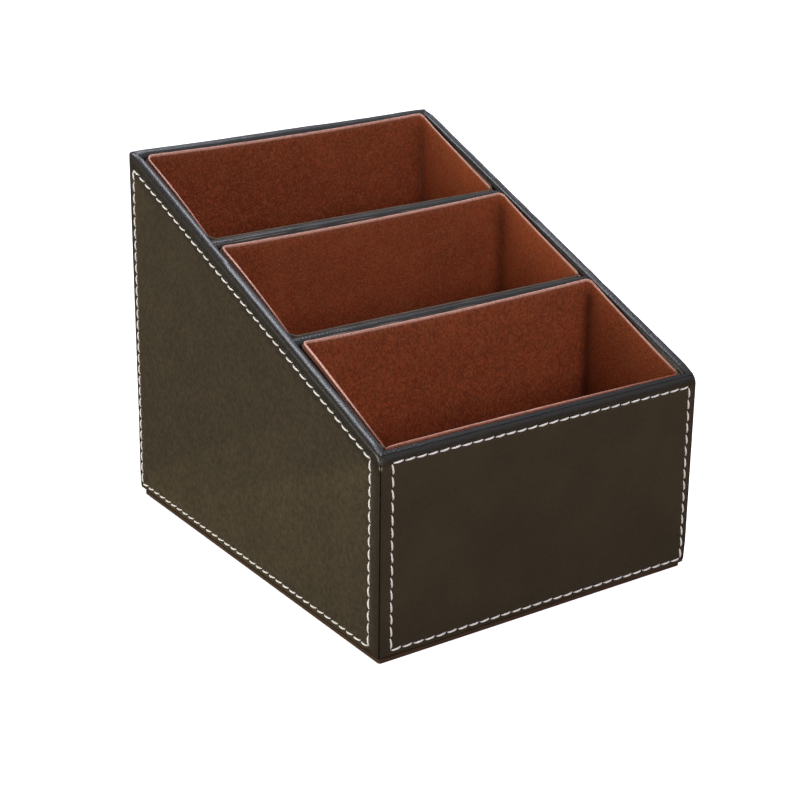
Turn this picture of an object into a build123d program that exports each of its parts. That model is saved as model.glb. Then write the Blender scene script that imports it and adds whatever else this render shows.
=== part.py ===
from build123d import *
import math
import os

# Desk storage box with a sloping top and three open compartments, one behind the other.
# Boards make the box, leather covers wrap them, and a suede lining stands in each compartment.
# Origin: centre of the footprint, on the surface the box stands on.
# +X is to the right seen from the front, +Y is to the rear, +Z is up. Lengths are millimetres.

# Overall size; the heights are those of the sloping rim where it would meet the front and the back
width = 130.0
depth = 161.0
rear_height = 132.3
front_height = 70.6

# Boards
wall_board = 2.1
divider_board = 2.4
base_board = 2.5

# Leather covers
leather = 0.7
outer_edge_radius = 1.2
inner_edge_radius = 0.5
front_corner_radius = 3.8
inner_turn_depth = 14.0
under_turn_width = 12.0
seam_gap = 0.2

# Depths of the front and middle compartments, from leather to leather
front_bay_depth = 50.1
middle_bay_depth = 47.9

# Linings of the compartments
lining_card = 0.6
lining_suede = 0.6
lining_clearance = 0.1
lining_drop = 0.4
lining_corner_radius = 4.0
floor_card = 0.8
floor_suede = 0.6
floor_clearance = 0.2

# Sheet glued under the box, and how far it stops short of each edge
base_sheet = 1.3
sheet_left_margin = 0.5
sheet_right_margin = 4.6
sheet_front_margin = 0.4
sheet_rear_margin = 3.5
sheet_corner_radius = 1.5

# Decorative stitching
thread_diameter = 0.9
stitch_pitch = 4.4
stitch_gap = 0.6
groove_depth = 0.3
groove_clearance = 0.1

# Distance of the stitch lines from the edges of each face
side_line_front = 6.0
side_line_rear = 3.0
side_line_bottom = 3.9
side_line_top = 4.6
front_line_left = 4.7
front_line_right = 2.9
front_line_bottom = 3.7
front_line_top = 3.2
back_line_sides = 4.5
back_line_bottom = 3.9
back_line_top = 5.0

# How near two places must be to count as one when edges are picked
same_place = 0.01

# Worked out from the sizes above
slope_angle = math.atan2(rear_height - front_height, depth)
wall = wall_board + 2 * leather
divider = divider_board + 2 * leather
half_width = width / 2
front_y = -depth / 2
rear_y = depth / 2
inside_x = half_width - wall
board_inside_x = half_width - leather - wall_board
cover_bottom = base_sheet
board_bottom = cover_bottom + leather
above_all = rear_height + wall
base_top = board_bottom + base_board
lining_thickness = lining_card + lining_suede

front_bay = (front_y + wall, front_y + wall + front_bay_depth)
middle_bay = (front_bay[1] + divider, front_bay[1] + divider + middle_bay_depth)
rear_bay = (middle_bay[1] + divider, rear_y - wall)
front_divider_y = front_bay[1] + divider / 2
rear_divider_y = middle_bay[1] + divider / 2


def rim_height(y, below=0.0):
    """Height at y of a plane that lies square below the sloping rim by that distance."""
    return front_height + (y - front_y) * math.tan(slope_angle) - below / math.cos(slope_angle)


def box_between(x_range, y_range, z_range):
    """Plain box between three pairs of coordinates."""
    size = [high - low for low, high in (x_range, y_range, z_range)]
    center = [(high + low) / 2 for low, high in (x_range, y_range, z_range)]
    return Pos(*center) * Box(*size)


def sloped_block(x_range, y_range, bottom, below=0.0):
    """Block with upright sides, whose top is a plane below the sloping rim."""
    y_low, y_high = y_range
    corners = [
        (y_low, bottom),
        (y_high, bottom),
        (y_high, rim_height(y_high, below)),
        (y_low, rim_height(y_low, below)),
    ]
    profile = Plane.YZ * Polygon(*corners, align=None)
    return Pos(x_range[0], 0, 0) * extrude(profile, amount=x_range[1] - x_range[0])


def wedge_body(inset, bottom):
    """The whole wedge, drawn in by the inset, with its front top corner rounded."""
    y_low = front_y + inset
    y_high = rear_y - inset
    outline = Polygon(
        (y_low, bottom),
        (y_high, bottom),
        (y_high, rim_height(y_high, inset)),
        (y_low, rim_height(y_low, inset)),
        align=None,
    )
    front_top = outline.vertices().filter_by(lambda v: v.X < 0 and v.Y > bottom + leather)
    outline = fillet(front_top, front_corner_radius - inset)
    return extrude(Plane.YZ * outline, amount=half_width - inset, both=True)


def outer_edges(body):
    """Edges of the wedge that get rounded: all but the two seams of its rounded front corner."""
    found = []
    for edge in body.edges():
        spot = edge.center()
        across = abs(spot.X) < half_width - same_place
        at_bottom = spot.Z < cover_bottom + same_place
        at_rear = spot.Y > rear_y - same_place
        if at_bottom or at_rear or not across:
            found.append(edge)
    return found


def opening_edges(body):
    """Top edges of the opening, where the sloping rim meets the inside of the walls."""
    found = []
    for edge in body.edges():
        spot = edge.center()
        on_rim = abs(spot.Z - rim_height(spot.Y)) < same_place
        within_x = abs(spot.X) < inside_x + same_place
        within_y = front_bay[0] - same_place < spot.Y < rear_bay[1] + same_place
        if on_rim and within_x and within_y:
            found.append(edge)
    return found


def opening_radius():
    """Rounding of the rim's inner edge, kept within what the front corner leaves of the wall."""
    half_angle = math.pi / 4 - slope_angle / 2
    flat_at_front = wall - front_corner_radius * math.tan(half_angle)
    return min(inner_edge_radius, flat_at_front * math.tan(half_angle) - same_place)


def rounded_rim_body():
    """The wedge with rounded edges and with its hollow, down to the leather under the boards."""
    body = fillet(outer_edges(wedge_body(0, cover_bottom)), outer_edge_radius)
    hollow_y = (front_bay[0], rear_bay[1])
    body -= box_between((-inside_x, inside_x), hollow_y, (board_bottom, above_all))
    return fillet(opening_edges(body), opening_radius())


def board_space():
    """Space that the four wall boards and the base board fill inside the leather."""
    hollow = box_between(
        (-board_inside_x, board_inside_x),
        (front_bay[0] - leather, rear_bay[1] + leather),
        (base_top, above_all),
    )
    return wedge_body(leather, board_bottom) - hollow


def leather_skin():
    """All leather on the walls: outside, over the rim, down inside and in under the boards."""
    inner_face = sloped_block(
        (-board_inside_x, board_inside_x),
        (front_bay[0] - leather, rear_bay[1] + leather),
        board_bottom,
        inner_turn_depth,
    )
    under_hole = box_between(
        (-half_width + under_turn_width, half_width - under_turn_width),
        (front_y + under_turn_width, rear_y - under_turn_width),
        (cover_bottom - leather, board_bottom + leather),
    )
    return rounded_rim_body() - board_space() - inner_face - under_hole


def mitred_share(side):
    """Upright prism that holds one side's share of the leather, mitred at both corners."""
    half_length, reach = (half_width, rear_y) if side in ("front", "back") else (rear_y, half_width)
    shift = seam_gap / math.sqrt(2)
    inward = under_turn_width + wall
    outline = [
        (-half_length + shift - wall, reach + wall),
        (half_length - shift + wall, reach + wall),
        (half_length - shift - inward, reach - inward),
        (-half_length + shift + inward, reach - inward),
    ]
    placed = {
        "left_side": [(-v, u) for u, v in outline],
        "right_side": [(v, u) for u, v in outline],
        "front": [(u, -v) for u, v in outline],
        "back": outline,
    }[side]
    return extrude(Polygon(*placed, align=None), amount=above_all, both=True)


def half_bead(length):
    """One stitch: a thread lying half proud of its seat, with rounded ends."""
    radius = thread_diameter / 2
    half = length / 2
    sink = radius * math.sqrt(0.5)
    outline = (
        ThreePointArc((-half, 0), (-half + radius - sink, sink), (-half + radius, radius))
        + Line((-half + radius, radius), (half - radius, radius))
        + ThreePointArc((half - radius, radius), (half - radius + sink, sink), (half, 0))
        + Line((half, 0), (-half, 0))
    )
    return revolve(make_face(outline), axis=Axis.X, revolution_arc=180)


def stitches_along(start, end, outward):
    """Row of equal stitches from one point to another on a face that looks outward."""
    start = Vector(*start)
    run = Vector(*end) - start
    count = max(1, round(run.length / stitch_pitch))
    pitch = run.length / count
    bead = half_bead(pitch - stitch_gap)
    row = []
    for number in range(count):
        middle = start + run * ((number + 0.5) / count)
        seat = Plane(origin=middle, x_dir=run, z_dir=outward)
        row.append(seat.location * bead)
    return row


def side_line(grow=0.0):
    """Corners (y, z) of the stitch line on a side, grown outwards."""
    y_low = front_y + side_line_front - grow
    y_high = rear_y - side_line_rear + grow
    z_low = side_line_bottom - grow
    below = side_line_top - grow
    z_front = rim_height(y_low, below)
    z_rear = rim_height(y_high, below)
    return [(y_low, z_low), (y_high, z_low), (y_high, z_rear), (y_low, z_front)]


def front_line(grow=0.0):
    """Corners (x, z) of the stitch line on the front, grown outwards."""
    x_low = -half_width + front_line_left - grow
    x_high = half_width - front_line_right + grow
    z_low = front_line_bottom - grow
    z_high = front_height - front_line_top + grow
    return [(x_low, z_low), (x_high, z_low), (x_high, z_high), (x_low, z_high)]


def back_line(grow=0.0):
    """Corners (x, z) of the stitch line on the back, grown outwards."""
    x_high = half_width - back_line_sides + grow
    z_low = back_line_bottom - grow
    z_high = rear_height - back_line_top + grow
    return [(-x_high, z_low), (x_high, z_low), (x_high, z_high), (-x_high, z_high)]


def face_plane(side, lift):
    """Plane over one outer face, with local x along the face and local y up, and the way out."""
    base = Plane.XZ if side in ("front", "back") else Plane.YZ
    reach = rear_y if side in ("front", "back") else half_width
    sign = 1 if side in ("front", "right_side") else -1
    return base.offset(sign * (reach + lift)), base.z_dir * sign


stitch_lines = {
    "left_side": side_line,
    "right_side": side_line,
    "front": front_line,
    "back": back_line,
}


def groove(side):
    """Shallow channel in one outer face, in which its stitches lie."""
    half = thread_diameter / 2 + groove_clearance
    line = stitch_lines[side]
    ring = Polygon(*line(half), align=None) - Polygon(*line(-half), align=None)
    face, _ = face_plane(side, 0.0)
    return extrude(face * ring, amount=groove_depth, both=True)


def stitching(side):
    """Closed loop of stitches that lie on the floor of the groove in one outer face."""
    corners = stitch_lines[side]()
    floor, outward = face_plane(side, -groove_depth)
    beads = []
    for number, corner in enumerate(corners):
        following = corners[(number + 1) % len(corners)]
        start = floor.from_local_coords(corner)
        end = floor.from_local_coords(following)
        beads += stitches_along(start, end, outward)
    return Compound(children=beads)


def side_board(sign):
    """Board of one side, as long as the box and with the sloping top."""
    x_range = sorted((sign * board_inside_x, sign * half_width))
    slab = box_between(x_range, (front_y, rear_y), (0, rear_height))
    return wedge_body(leather, board_bottom) & slab


def end_board(y_range):
    """Board of the front or the back, held between the side boards."""
    slab = box_between((-board_inside_x, board_inside_x), y_range, (0, rear_height))
    return wedge_body(leather, board_bottom) & slab


def divider_piece(center_y, thickness, bottom, below):
    """Upright piece across the box between two compartments."""
    y_range = (center_y - thickness / 2, center_y + thickness / 2)
    return sloped_block((-inside_x, inside_x), y_range, bottom, below)


def divider_cap(center_y):
    """Leather folded over a divider board, with rounded edges along the rim."""
    lower_edge = rim_height(center_y, inner_turn_depth)
    cap = divider_piece(center_y, divider, lower_edge, 0.0)
    rims = cap.edges().filter_by(Axis.X).sort_by(Axis.Z)[-2:]
    return fillet(rims, outer_edge_radius) - divider_piece(center_y, divider_board, 0.0, leather)


def bay_prism(bay, inset, bottom, below):
    """Rounded upright prism in a compartment, drawn in by the inset, under the sloping rim."""
    margin = lining_clearance + inset
    size_x = 2 * (inside_x - margin)
    size_y = bay[1] - bay[0] - 2 * margin
    outline = RectangleRounded(size_x, size_y, lining_corner_radius - inset)
    prism = extrude(Pos(0, (bay[0] + bay[1]) / 2, bottom) * outline, amount=rear_height)
    under_rim = sloped_block((-half_width, half_width), (front_y, rear_y), 0.0, below)
    return prism & under_rim


def lining_band_card(bay):
    """Card band that stands round the four walls of a compartment."""
    outside = bay_prism(bay, 0.0, base_top, lining_drop + lining_suede)
    return outside - bay_prism(bay, lining_card, 0.0, 0.0)


def lining_band_suede(bay):
    """Suede on the inside of the card band and folded over its top edge."""
    outside = bay_prism(bay, 0.0, base_top, lining_drop)
    hollow = bay_prism(bay, lining_thickness, 0.0, 0.0)
    return outside - hollow - lining_band_card(bay)


def floor_layer(bay, bottom, thickness):
    """Flat layer on the floor of a compartment, inside the lining."""
    outline = bay_prism(bay, lining_thickness + floor_clearance, bottom, 0.0)
    level = box_between((-half_width, half_width), (front_y, rear_y), (bottom, bottom + thickness))
    return outline & level


def sheet_under_base():
    """Thin brown sheet under the box, a little smaller than the box."""
    x_low = -half_width + sheet_left_margin
    x_high = half_width - sheet_right_margin
    y_low = front_y + sheet_front_margin
    y_high = rear_y - sheet_rear_margin
    outline = RectangleRounded(x_high - x_low, y_high - y_low, sheet_corner_radius)
    return extrude(Pos((x_low + x_high) / 2, (y_low + y_high) / 2, 0) * outline, amount=base_sheet)


# All pieces by name
pieces = {
    "left_side_board": side_board(-1),
    "right_side_board": side_board(1),
    "front_board": end_board((front_y, front_bay[0] - leather)),
    "back_board": end_board((rear_bay[1] + leather, rear_y)),
    "base_board": box_between(
        (-board_inside_x, board_inside_x),
        (front_bay[0] - leather, rear_bay[1] + leather),
        (board_bottom, base_top),
    ),
    "front_divider_board": divider_piece(front_divider_y, divider_board, base_top, leather),
    "rear_divider_board": divider_piece(rear_divider_y, divider_board, base_top, leather),
    "front_divider_cap": divider_cap(front_divider_y),
    "rear_divider_cap": divider_cap(rear_divider_y),
    "base_sheet": sheet_under_base(),
}

skin = leather_skin()
for side in stitch_lines:
    pieces[side + "_cover"] = (skin & mitred_share(side)) - groove(side)
    pieces[side + "_stitching"] = stitching(side)

for name, bay in {"front": front_bay, "middle": middle_bay, "rear": rear_bay}.items():
    pieces[name + "_lining_card"] = lining_band_card(bay)
    pieces[name + "_lining_suede"] = lining_band_suede(bay)
    pieces[name + "_floor_card"] = floor_layer(bay, base_top, floor_card)
    pieces[name + "_floor_suede"] = floor_layer(bay, base_top + floor_card, floor_suede)

os.makedirs("parts", exist_ok=True)
for name, shape in pieces.items():
    shape.label = name
    export_step(shape, "parts/" + name + ".step")
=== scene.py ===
import math
import random

import bmesh
import bpy
from mathutils import Matrix, Vector
from mathutils.kdtree import KDTree


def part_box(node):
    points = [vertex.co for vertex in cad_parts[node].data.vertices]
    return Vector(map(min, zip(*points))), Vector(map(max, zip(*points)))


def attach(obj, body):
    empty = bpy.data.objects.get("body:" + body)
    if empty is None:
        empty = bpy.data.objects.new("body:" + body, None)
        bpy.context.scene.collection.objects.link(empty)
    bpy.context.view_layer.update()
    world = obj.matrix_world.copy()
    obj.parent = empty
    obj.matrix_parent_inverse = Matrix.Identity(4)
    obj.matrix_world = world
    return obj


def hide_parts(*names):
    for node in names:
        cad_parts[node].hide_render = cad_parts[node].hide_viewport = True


bl_info = {
    "name": "Desk storage box",
    "version": (1, 0, 0),
    "blender": (4, 5, 0),
    "location": "3D View > Sidebar > Storage box",
    "description": "Leather covered desk box with a sloping top, suede linings and decorative stitching",
    "category": "Object",
}

# The frame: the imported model, in metres. X is to the right, Y to the rear, Z up.
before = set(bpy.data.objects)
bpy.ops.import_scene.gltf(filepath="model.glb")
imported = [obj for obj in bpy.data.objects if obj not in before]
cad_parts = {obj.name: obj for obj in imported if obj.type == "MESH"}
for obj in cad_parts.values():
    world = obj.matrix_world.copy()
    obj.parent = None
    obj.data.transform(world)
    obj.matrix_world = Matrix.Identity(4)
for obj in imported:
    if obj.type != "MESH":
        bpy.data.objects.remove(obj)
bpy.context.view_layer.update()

mm = 0.001

# Merging distance of a cut, and how far from its expected place a vertex or an edge may be found
tiny = 1e-6
near = 0.02 * mm

# Share of a direction or a normal along an axis above which it counts as lying along it
aligned = 0.9
square_on = 0.999

left_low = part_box("left_side_cover")[0]
right_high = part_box("right_side_cover")[1]
front_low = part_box("front_cover")[0]
back_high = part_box("back_cover")[1]


def length(name, description, default):
    """A size that a user may change, in metres."""
    return bpy.props.FloatProperty(
        name=name,
        description=description,
        default=default,
        min=0.0,
        precision=5,
        subtype="DISTANCE",
        unit="LENGTH",
    )


def colour(name, description, default):
    """A colour that a user may change, as linear red, green and blue."""
    return bpy.props.FloatVectorProperty(
        name=name, description=description, default=default, min=0.0, max=1.0, size=3, subtype="COLOR"
    )


def share(name, description, default, highest=1.0):
    """A plain number from nought upwards that a user may change."""
    return bpy.props.FloatProperty(name=name, description=description, default=default, min=0.0, max=highest)


def turn(name, description, degrees):
    """An angle that a user may change."""
    return bpy.props.FloatProperty(
        name=name, description=description, default=math.radians(degrees), subtype="ANGLE", unit="ROTATION"
    )


def depths(name, start, halfway, end):
    """Depths below the rim along one wall of a lining, that a user may change."""
    return bpy.props.FloatVectorProperty(
        name=name,
        description="Depth of the edge below the rim at the start, middle and end of this wall",
        default=(start * mm, halfway * mm, end * mm),
        size=3,
        precision=5,
        unit="LENGTH",
    )


def shares(name, description, start, halfway, end):
    """Three plain numbers along one wall of a lining, that a user may change."""
    return bpy.props.FloatVectorProperty(
        name=name, description=description, default=(start, halfway, end), size=3
    )


class BoxSizes(bpy.types.PropertyGroup):
    """Sizes of the box and of its leather."""

    width: length("Width", "Outside width of the box", right_high.x - left_low.x)
    depth: length("Depth", "Outside depth of the box", back_high.y - front_low.y)
    bottom: length("Bottom", "Height of the underside of the leather", left_low.z)
    rear_height: length("Rear height", "Height of the sloping rim at the back", 132.3 * mm)
    front_height: length("Front height", "Height where the sloping rim would meet the front", 70.6 * mm)
    wall: length("Wall", "Thickness of the walls at the rim", 3.5 * mm)
    front_roll: length("Front roll", "Radius of the rounded front edge of the rim", 4.2 * mm)
    edge_roll: length("Edge roll", "Radius of the outer edges", 1.1 * mm)
    inner_roll: length("Inner roll", "Radius of the inner edge of the rim", 0.85 * mm)
    rim_lean: length("Rim lean", "How far the rim's inner edge lies below its outer edge", 0.5 * mm)
    left_padding: length("Left padding", "How far the padded left rim rises above the slope", 0.42 * mm)
    right_padding: length("Right padding", "How far the padded right rim rises above the slope", 0.38 * mm)
    back_sag: length("Back sag", "How far the back rim sags between its ends", 0.3 * mm)
    bulge: length("Bulge", "How far the leather stands out at the front right corner", 0.4 * mm)
    cap_roll: length("Cap roll", "Radius of the edges of a divider's cap", 1.85 * mm)
    cap_drop: length("Cap drop", "How far a divider's cap lies below the slope of the rim", 0.4 * mm)
    turn_in: length("Turn in", "Leather folded down inside the walls", 14.0 * mm)
    under_turn: length("Under turn", "Leather folded in under the box", 12.0 * mm)
    leather: length("Leather", "Thickness of the leather", 0.35 * mm)
    seam_gap: length("Seam gap", "Gap between two covers at a corner", 0.42 * mm)
    seam_fold: length("Seam fold", "Depth of the folded leather edge in a seam", 0.8 * mm)
    mesh_step: length("Mesh step", "Spacing of the mesh along rims and stitch lines", 0.6 * mm)


class StitchSizes(bpy.types.PropertyGroup):
    """Sizes of the decorative stitching."""

    thread: length("Thread", "Diameter of the thread", 0.64 * mm)
    pitch: length("Pitch", "Length of one stitch with its gap", 4.4 * mm)
    gap: length("Gap", "Gap between two stitches", 0.5 * mm)
    slant: turn("Slant", "Turn of each stitch out of its line", 5.5)
    channel: length("Channel", "Depth of the channel that the seam pulls into the leather", 0.24 * mm)
    dimple: length("Dimple", "Further depth at each needle hole", 0.26 * mm)


class LiningSizes(bpy.types.PropertyGroup):
    """Sizes of the suede linings."""

    thickness: length("Thickness", "Thickness of the lining with its card", 1.3 * mm)
    shift_left: length("Shift left", "How far the lining stands in from the leather on the left", 0.35 * mm)
    rear_corner: length("Rear corner", "Outer radius of the lining's two rear corners at the top", 3.2 * mm)
    front_corner: length("Front corner", "Outer radius of the lining's two front corners", 1.6 * mm)
    crease: length("Crease", "Outer radius of the rear corners where they are creased, lower down", 2.4 * mm)
    highest: length("Highest", "How far a lining's edge may stand above the rim", 1.6 * mm)
    front_bay_left: depths("Front compartment, left", 1.45, -0.5, -1.5)
    front_bay_right: depths("Front compartment, right", 1.1, 0.25, -1.3)
    front_bay_rear: depths("Front compartment, rear", -0.35, 0.1, -1.0)
    front_bay_front: depths("Front compartment, front", -0.05, 0.12, 0.8)
    middle_bay_left: depths("Middle compartment, left", 2.1, 0.1, -0.3)
    middle_bay_right: depths("Middle compartment, right", 0.5, 0.25, -1.0)
    middle_bay_rear: depths("Middle compartment, rear", 0.5, 0.5, -0.95)
    middle_bay_front: depths("Middle compartment, front", 2.2, 1.75, 1.75)
    rear_bay_left: depths("Rear compartment, left", 2.4, 0.35, 0.1)
    rear_bay_right: depths("Rear compartment, right", 1.0, 0.6, -0.75)
    rear_bay_rear: depths("Rear compartment, rear", -0.15, 0.42, -0.8)
    rear_bay_front: depths("Rear compartment, front", 2.2, 2.1, 2.0)
    groove: length("Groove", "Depth of the groove beside the lining's ridge", 0.95 * mm)
    ridge: length("Ridge", "Width of the lining's ridge", 0.6 * mm)
    ridge_round: length("Ridge round", "Radius of the edges of the ridge", 0.2 * mm)
    wave: length("Wave", "How far the suede walls stand out of flat", 0.25 * mm)


class Finishes(bpy.types.PropertyGroup):
    """Colours and gloss of the materials."""

    leather_colour: colour("Leather", "Dark brown of the leather", (0.05, 0.037, 0.02))
    # Painted shade: the rim's near black brown stands in for the darker look of the rim under the light; the
    # leather there is the same.
    rim_shade_colour: colour("Rim leather", "Blackened brown of the leather at the rim", (0.016, 0.0135, 0.0125))
    # The dark seam, and painted shade on the rounded corner beside it.
    seam_and_shade_colour: colour("Seam", "Dark red brown of the leather in a seam", (0.011, 0.0055, 0.003))
    cut_edge_colour: colour("Cut edge", "Pale brown of the leather's cut edge", (0.42, 0.36, 0.3))
    panel_rough: share("Panel roughness", "Roughness of the leather on the faces", 0.52)
    rim_rough: share("Rim roughness", "Roughness of the leather at the rim", 0.32)
    side_gloss: share("Side gloss", "Polish of the two side rims", 0.5)
    leather_gloss: share("Leather gloss", "Specular level of the leather", 0.36)
    suede_colour: colour("Suede", "Red brown of the suede", (0.222, 0.046, 0.0155))
    # Painted highlight: the pale ridge along the linings' upper edges, where light catches it.
    suede_rubbed: colour("Rubbed suede", "Pale tone of the rubbed upper edge", (0.72, 0.42, 0.345))
    thread_colour: colour("Thread", "Off-white of the thread", (1.0, 0.98, 0.955))
    # Painted highlight along the linings' upper edges: its strength on each wall.
    edge_highlight_left: shares("Worn left", "Wear of the linings' edges on the left", 0.0, 1.0, 0.95)
    edge_highlight_right: shares("Worn right", "Wear of the linings' edges on the right", 0.72, 0.8, 0.8)
    edge_highlight_rear: shares("Worn rear", "Wear of the linings' edges at the rear", 1.0, 1.0, 1.0)
    edge_highlight_front: shares("Worn front", "Wear of the front lining's edge at the front", 0.75, 1.1, -0.15)
    edge_highlight_behind: shares("Worn behind", "Wear of a lining's edge behind a divider", 0.1, 0.7, 0.5)
    # Painted light and shade: each of these makes a lining's right or rear wall lighter or darker by how much
    # light falls on it.
    nap_front: shares("Nap front", "Tone of the front lining's right wall", 0.74, 0.78, 0.98)
    nap_middle: shares("Nap middle", "Tone of the middle lining's right wall", 1.35, 1.3, 1.2)
    nap_rear: shares("Nap rear", "Tone of the rear lining's right wall", 1.3, 1.25, 1.25)
    nap_behind_front: shares("Nap behind front", "Tone of the front lining's rear wall", 1.0, 0.97, 0.97)
    nap_behind_middle: shares("Nap behind middle", "Tone of the middle lining's rear wall", 0.88, 0.88, 0.94)
    nap_behind_rear: shares("Nap behind rear", "Tone of the rear lining's rear wall", 0.78, 0.8, 0.88)
    base_colour: colour("Base cloth", "Brown of the sheet under the box", (0.05, 0.022, 0.008))
    board_colour: colour("Board", "Grey brown of the boards", (0.2, 0.17, 0.13))
    card_colour: colour("Card", "Dark brown of the card", (0.09, 0.065, 0.045))


class StageSettings(bpy.types.PropertyGroup):
    """Camera, floor and lights."""

    azimuth: turn("Azimuth", "Camera's turn round the box, to the right of the front", -35.0)
    elevation: turn("Elevation", "Camera's angle above the level", 19.709)
    roll: turn("Roll", "Camera's turn round its own line of sight", 0.678)
    aim_height: length("Aim height", "Height of the point that the camera is set out from", 60.0 * mm)
    distance: length("Distance", "Distance of the camera from that point", 686.19 * mm)
    lens: bpy.props.FloatProperty(name="Lens", description="Focal length in millimetres", default=86.892)


def sizes():
    """Sizes of the box, as the scene holds them."""
    return bpy.context.scene.box_sizes


def slope_angle():
    """Angle of the sloping rim."""
    box = sizes()
    return math.atan2(box.rear_height - box.front_height, box.depth)


def rim_height(y, below=0.0):
    """Height at y of a plane that lies square below the sloping rim by that distance."""
    box = sizes()
    rise = box.rear_height - box.front_height
    return box.front_height + (y + box.depth / 2) * rise / box.depth - below / math.cos(slope_angle())


def depth_below(spot):
    """Distance of a place square below the sloping rim."""
    return (rim_height(spot.y) - spot.z) * math.cos(slope_angle())


def held(value):
    """The value, held between 0 and 1."""
    return max(0.0, min(1.0, value))


# Modelling helpers


def deselect():
    """Leaves edit mode with nothing selected."""
    if bpy.context.mode != "OBJECT":
        bpy.ops.object.mode_set(mode="OBJECT")
    bpy.ops.object.select_all(action="DESELECT")


def make_active(piece):
    """Selects this piece alone and makes it the active one."""
    deselect()
    piece.select_set(True)
    bpy.context.view_layer.objects.active = piece


def settle(piece):
    """Moves the piece's place, turn and scale into its mesh."""
    make_active(piece)
    bpy.ops.object.transform_apply(location=True, rotation=True, scale=True)
    return piece


def new_block(name, low, high):
    """A block between two corners, as the start of a piece."""
    deselect()
    bpy.ops.mesh.primitive_cube_add(size=1, location=(Vector(low) + Vector(high)) / 2)
    piece = bpy.context.active_object
    piece.name = name
    piece.data.name = name
    piece.scale = Vector(high) - Vector(low)
    return settle(piece)


def edit(piece, mode):
    """Opens the piece in edit mode with nothing selected."""
    make_active(piece)
    bpy.ops.object.mode_set(mode="EDIT")
    bpy.ops.mesh.select_mode(type=mode)
    bpy.ops.mesh.select_all(action="DESELECT")


def pick(piece, kind, test):
    """Selects the vertices, edges or faces for which the test holds, and only these."""
    mode = {"verts": "VERT", "edges": "EDGE", "faces": "FACE"}[kind]
    bpy.ops.mesh.select_mode(type=mode)
    bpy.ops.mesh.select_all(action="DESELECT")
    mesh = bmesh.from_edit_mesh(piece.data)
    mesh.normal_update()
    found = [item for item in getattr(mesh, kind) if test(item)]
    if not found:
        raise RuntimeError(piece.name + ": nothing was found to select")
    for item in found:
        item.select_set(True)
    mesh.select_flush_mode()
    bmesh.update_edit_mesh(piece.data)


def middle(item):
    """Middle of an edge or of a face."""
    total = Vector((0, 0, 0))
    for vert in item.verts:
        total += vert.co
    return total / len(item.verts)


def direction(edge):
    """Direction of an edge, one way or the other."""
    return (edge.verts[1].co - edge.verts[0].co).normalized()


def upright(edge):
    """Whether an edge stands upright."""
    return abs(direction(edge).z) > aligned


def selected_places(piece):
    """Places of the selected vertices."""
    mesh = bmesh.from_edit_mesh(piece.data)
    return [vert.co.copy() for vert in mesh.verts if vert.select]


def move(offset):
    """Moves what is selected."""
    bpy.ops.transform.translate(value=offset)


def stretch_edges(offset):
    """Extrudes the selected open edges."""
    bpy.ops.mesh.extrude_edges_move(TRANSFORM_OT_translate={"value": offset})


def round_edges(radius, segments, **options):
    """Rounds the selected edges."""
    bpy.ops.mesh.bevel(offset=radius, segments=segments, affect="EDGES", **options)


def finish_edit():
    """Goes back to object mode and shades the piece smooth."""
    bpy.ops.object.mode_set(mode="OBJECT")
    bpy.ops.object.shade_smooth()


def keep_sharp(piece, degrees):
    """Shades the piece smooth, apart from edges sharper than an angle."""
    make_active(piece)
    bpy.ops.object.shade_smooth_by_angle(angle=math.radians(degrees))


def add_modifier(piece, kind, name, settings):
    """Adds one modifier, sets it and applies it."""
    make_active(piece)
    modifier = piece.modifiers.new(name, kind)
    for key, value in settings.items():
        setattr(modifier, key, value)
    bpy.ops.object.modifier_apply(modifier=modifier.name)


def thicken(piece, thickness):
    """Gives an open sheet its thickness, inwards."""
    add_modifier(piece, "SOLIDIFY", "thickness", {"thickness": thickness, "offset": -1.0})


def weigh(piece, name, weight_at):
    """Vertex group whose weights come from a function of the place of each vertex."""
    group = piece.vertex_groups.new(name=name)
    least = 0.001
    for vert in piece.data.vertices:
        weight = weight_at(vert.co)
        if weight > least:
            group.add([vert.index], min(weight, 1.0), "REPLACE")


def displace(piece, name, axis, strength):
    """Moves a surface along an axis by the weights of its vertex group of that name."""
    settings = {"vertex_group": name, "direction": axis, "mid_level": 0.0, "strength": strength}
    add_modifier(piece, "DISPLACE", name, settings)


def push(piece, name, weight_at, axis, strength):
    """Moves a surface along an axis by weights that come from a function of place."""
    weigh(piece, name, weight_at)
    displace(piece, name, axis, strength)


def ripple(piece, name, group, scale, strength, mid_level=0.5):
    """Makes a surface gently uneven, all over or by the weights of a vertex group."""
    texture = bpy.data.textures.new(name, "CLOUDS")
    texture.noise_scale = scale
    texture.noise_depth = 1
    settings = {"texture": texture, "texture_coords": "GLOBAL", "vertex_group": group}
    settings.update({"strength": strength, "mid_level": mid_level})
    add_modifier(piece, "DISPLACE", name, settings)


def keep_values(piece, functions):
    """Point attributes that a material can read, each from a function of place."""
    for name, value_at in functions.items():
        attribute = piece.data.attributes.new(name, "FLOAT", "POINT")
        values = [value_at(vert.co) for vert in piece.data.vertices]
        attribute.data.foreach_set("value", values)


# The four outer faces and their stitch lines

outward = {
    "left": Vector((-1, 0, 0)),
    "right": Vector((1, 0, 0)),
    "front": Vector((0, -1, 0)),
    "back": Vector((0, 1, 0)),
}
face_nodes = {"left": "left_side", "right": "right_side", "front": "front", "back": "back"}

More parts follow.
